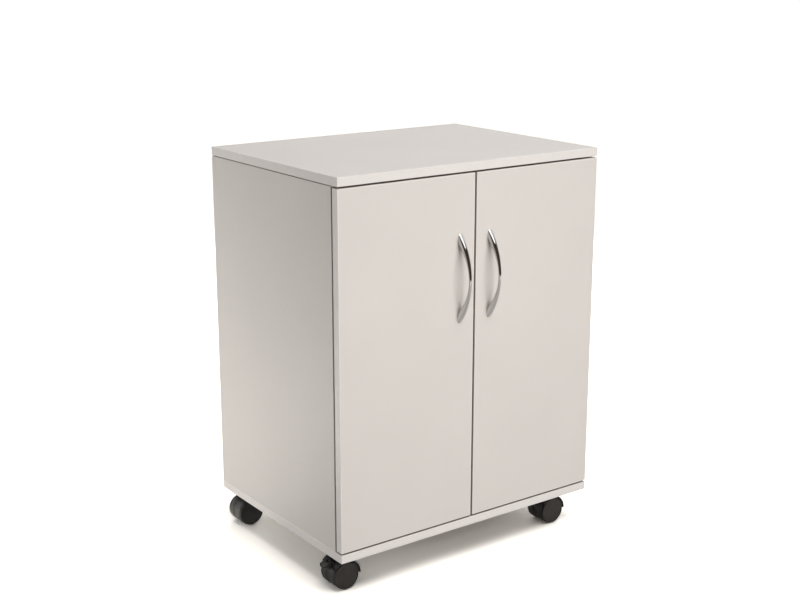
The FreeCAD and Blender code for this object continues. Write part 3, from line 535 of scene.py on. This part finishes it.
def lamp(name, kind, place, aim, power):
    """A lamp that shines from a place towards an aim and isn't itself seen."""
    light = bpy.data.lights.new(name, kind)
    light.energy = power
    holder = bpy.data.objects.new(name, light)
    holder.location = place
    holder.rotation_euler = (Vector(aim) - Vector(place)).to_track_quat("-Z", "Y").to_euler()
    holder.visible_camera = False
    bpy.context.scene.collection.objects.link(holder)
    return holder


def soft_box(name, place, size, power, aim, fan_deg=180, reflected=False):
    """A rectangular lamp whose light fans out by an angle; polished surfaces show it where asked."""
    box = lamp(name, "AREA", place, aim, power)
    box.data.shape = "RECTANGLE"
    box.data.size, box.data.size_y = size
    box.data.spread = math.radians(fan_deg)
    box.visible_glossy = reflected
    return box


def keep_off(holder, sheet):
    """The lamp lights everything but the sheet."""
    unlit = bpy.data.collections.new(holder.name + "_unlit")
    unlit.objects.link(sheet)
    unlit.collection_objects[0].light_linking.link_state = "EXCLUDE"
    holder.light_linking.receiver_collection = unlit


def studio_lamps(floor):
    """A soft sun overhead and the soft boxes.

    The low box before the doors leaves out the floor, where it would fill the shadow under the front edge.
    """
    turn = math.radians(SUN_TURN_DEG)
    height = math.radians(SUN_HEIGHT_DEG)
    sun_place = (math.sin(turn) * math.cos(height), -math.cos(turn) * math.cos(height), math.sin(height))
    sun = lamp("studio_sun", "SUN", sun_place, (0, 0, 0), SUN_STRENGTH)
    sun.data.angle = math.radians(SUN_SPREAD_DEG)
    soft_boxes = {name: soft_box(name, **settings) for name, settings in SOFT_BOXES.items()}
    keep_off(soft_boxes[FRONT_BOX], floor)


def studio_world():
    """Even light all round; what the camera and polished surfaces see of it is plain white."""
    world = bpy.data.worlds.new("studio")
    bpy.context.scene.world = world
    world.use_nodes = True
    tree = world.node_tree
    background = tree.nodes["Background"]
    background.inputs["Color"].default_value = (1, 1, 1, 1)
    strength = tree.nodes.new("ShaderNodeMapRange")
    strength.inputs["To Min"].default_value = SKY_LIGHT
    strength.inputs["To Max"].default_value = 1.0
    tree.links.new(seen_or_reflected(tree), strength.inputs["Value"])
    tree.links.new(strength.outputs["Result"], background.inputs["Strength"])


def camera():
    """The camera at the photograph's viewing point."""
    turn = math.radians(CAMERA_TURN_DEG)
    tilt = math.radians(CAMERA_TILT_DEG)
    ahead = Vector((math.sin(turn) * math.cos(tilt), math.cos(turn) * math.cos(tilt), -math.sin(tilt)))
    data = bpy.data.cameras.new("camera")
    data.lens = CAMERA_LENS_MM
    eye = bpy.data.objects.new("camera", data)
    eye.location = CAMERA_PLACE
    eye.rotation_euler = ahead.to_track_quat("-Z", "Y").to_euler()
    bpy.context.scene.collection.objects.link(eye)
    bpy.context.scene.camera = eye


finishes = {
    "board": melamine("melamine_light_grey", BOARD_GREY),
    "edging": plastic_edging("edging_light_grey", EDGING_GREY),
    "hardboard": lacquered_hardboard("hardboard_lacquered", BACK_GREY),
    "beech": beech("beech_dowel"),
    "chrome": bright_chrome("chrome_bright", CHROME),
    "nickel_steel": plated_steel("nickel_plated_steel", NICKEL, smoothest=0.20, roughest=0.32),
    "zinc_steel": plated_steel("zinc_plated_steel", ZINC, smoothest=0.28, roughest=0.44),
    "zinc_casting": plated_steel("zinc_casting", ZINC_CASTING, smoothest=0.42, roughest=0.60),
    "castor_nylon": moulded_nylon("nylon_black", NYLON_BLACK, smoothest=0.36, roughest=0.55),
    "wheel_nylon": moulded_nylon("nylon_wheel", WHEEL_GREY, smoothest=0.38, roughest=0.52),
}
dress(finishes)
make_handles(finishes)
make_wheels(finishes)
pale_floor = studio_floor()
dark_screen()
studio_world()
studio_lamps(pale_floor)
camera()
bpy.context.scene.view_settings.view_transform = "Standard"
